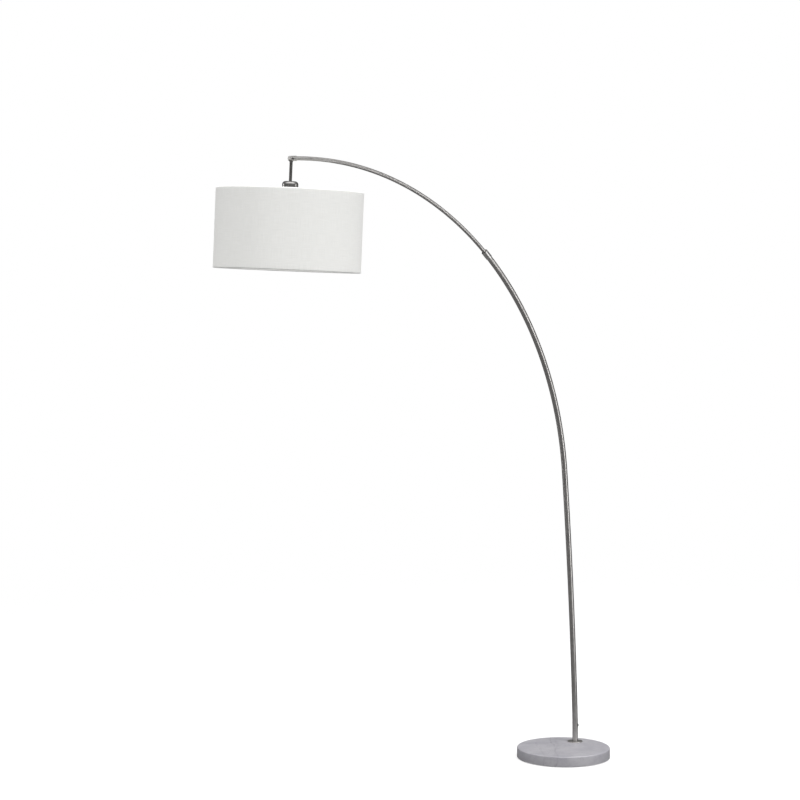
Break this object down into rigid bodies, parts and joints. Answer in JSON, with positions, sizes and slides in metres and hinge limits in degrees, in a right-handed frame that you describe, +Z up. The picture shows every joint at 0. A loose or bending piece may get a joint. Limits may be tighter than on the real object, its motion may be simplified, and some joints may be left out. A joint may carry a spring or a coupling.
{
  "type": "arc floor lamp",
  "caption": "Arc floor lamp: round stone base, bowed post, telescoping curved arm and a tilting white drum shade.",
  "frame": {"origin": "centre of the foot pad's underside, on the floor under the middle of the stone disc", "axes": "+Z up; the arm reaches along -X in the upright plane through the post; the post stands off the disc centre towards +X and +Y"},
  "size_m": [1.579, 0.4572, 2.0502],
  "materials": {
    "marble": "honed light grey marble with faint grey veins",
    "pad_rubber": "matt foam rubber",
    "brushed_nickel": "satin brushed nickel plate",
    "zinc_steel": "bright zinc plate",
    "dark_screw": "black oxide",
    "black_nylon": "matt moulded nylon",
    "black_phenolic": "moulded phenolic",
    "brass": "drawn",
    "white_shade_fabric": "plain woven, bonded to the liner",
    "white_shade_liner": "matt sheet",
    "white_wire": "white powder coat",
    "frosted_glass": "frosted",
    "bulb_aluminium": "rolled thread"
  },
  "bodies": {
    "base": {"foot_pad": "pad_rubber", "marble_base": "marble", "base_washer": "zinc_steel", "lock_washer": "zinc_steel", "base_nut": "zinc_steel", "pivot_rod": "zinc_steel", "foot_flange": "brushed_nickel", "swivel_washer": "black_nylon", "pivot_washer": "black_nylon", "pivot_nut": "zinc_steel"},
    "post": {"post_tube": "brushed_nickel", "post_foot_plug": "zinc_steel", "cord_bushing": "black_nylon", "tube_coupler": "zinc_steel", "arc_tube": "brushed_nickel", "collar": "brushed_nickel", "collar_bushing": "black_nylon", "lock_screw": "dark_screw"},
    "upper_arm": {"upper_tube": "brushed_nickel", "tube_end_guide": "black_nylon", "elbow_body": "brushed_nickel", "elbow_pin": "dark_screw", "elbow_nut": "dark_screw", "elbow_grub_screw": "dark_screw"},
    "head": {"stem_knuckle": "brushed_nickel", "stem_pipe": "brushed_nickel", "socket_cup": "brushed_nickel", "stem_nut": "zinc_steel", "socket_body": "black_phenolic", "screw_shell": "brass", "centre_contact": "brass", "shade_cover": "white_shade_fabric", "shade_liner": "white_shade_liner", "shade_ring_top": "white_wire", "shade_ring_bottom": "white_wire", "shade_hub": "white_wire", "shade_spokes": "white_wire", "shade_retainer": "black_phenolic", "bulb_glass": "frosted_glass", "bulb_base": "bulb_aluminium", "bulb_insulator": "black_phenolic"},
    "switch": {"switch_shaft": "brass", "switch_knob": "black_phenolic"}
  },
  "joints": [
    {"name": "post_turn", "type": "hinge", "parent": "base", "child": "post", "pos_m": [0.09, 0.032, 0.037], "axis": [0, 0, 1], "range_deg": [-55, 95]},
    {"name": "arm_draw", "type": "hinge", "parent": "post", "child": "upper_arm", "pos_m": [-1.12834, 0.032, 0.87736], "axis": [0, 1, 0], "range_deg": [0, 14.5]},
    {"name": "shade_tilt", "type": "hinge", "parent": "upper_arm", "child": "head", "pos_m": [-1.17212, 0.032, 2.04154], "axis": [0, 1, 0], "range_deg": [-18.5, 19.5]},
    {"name": "switch_turn", "type": "hinge", "parent": "head", "child": "switch", "pos_m": [-1.17793, 0.032, 1.9342], "axis": [-0.9985, 0, 0.0541], "continuous": true}
  ]
}
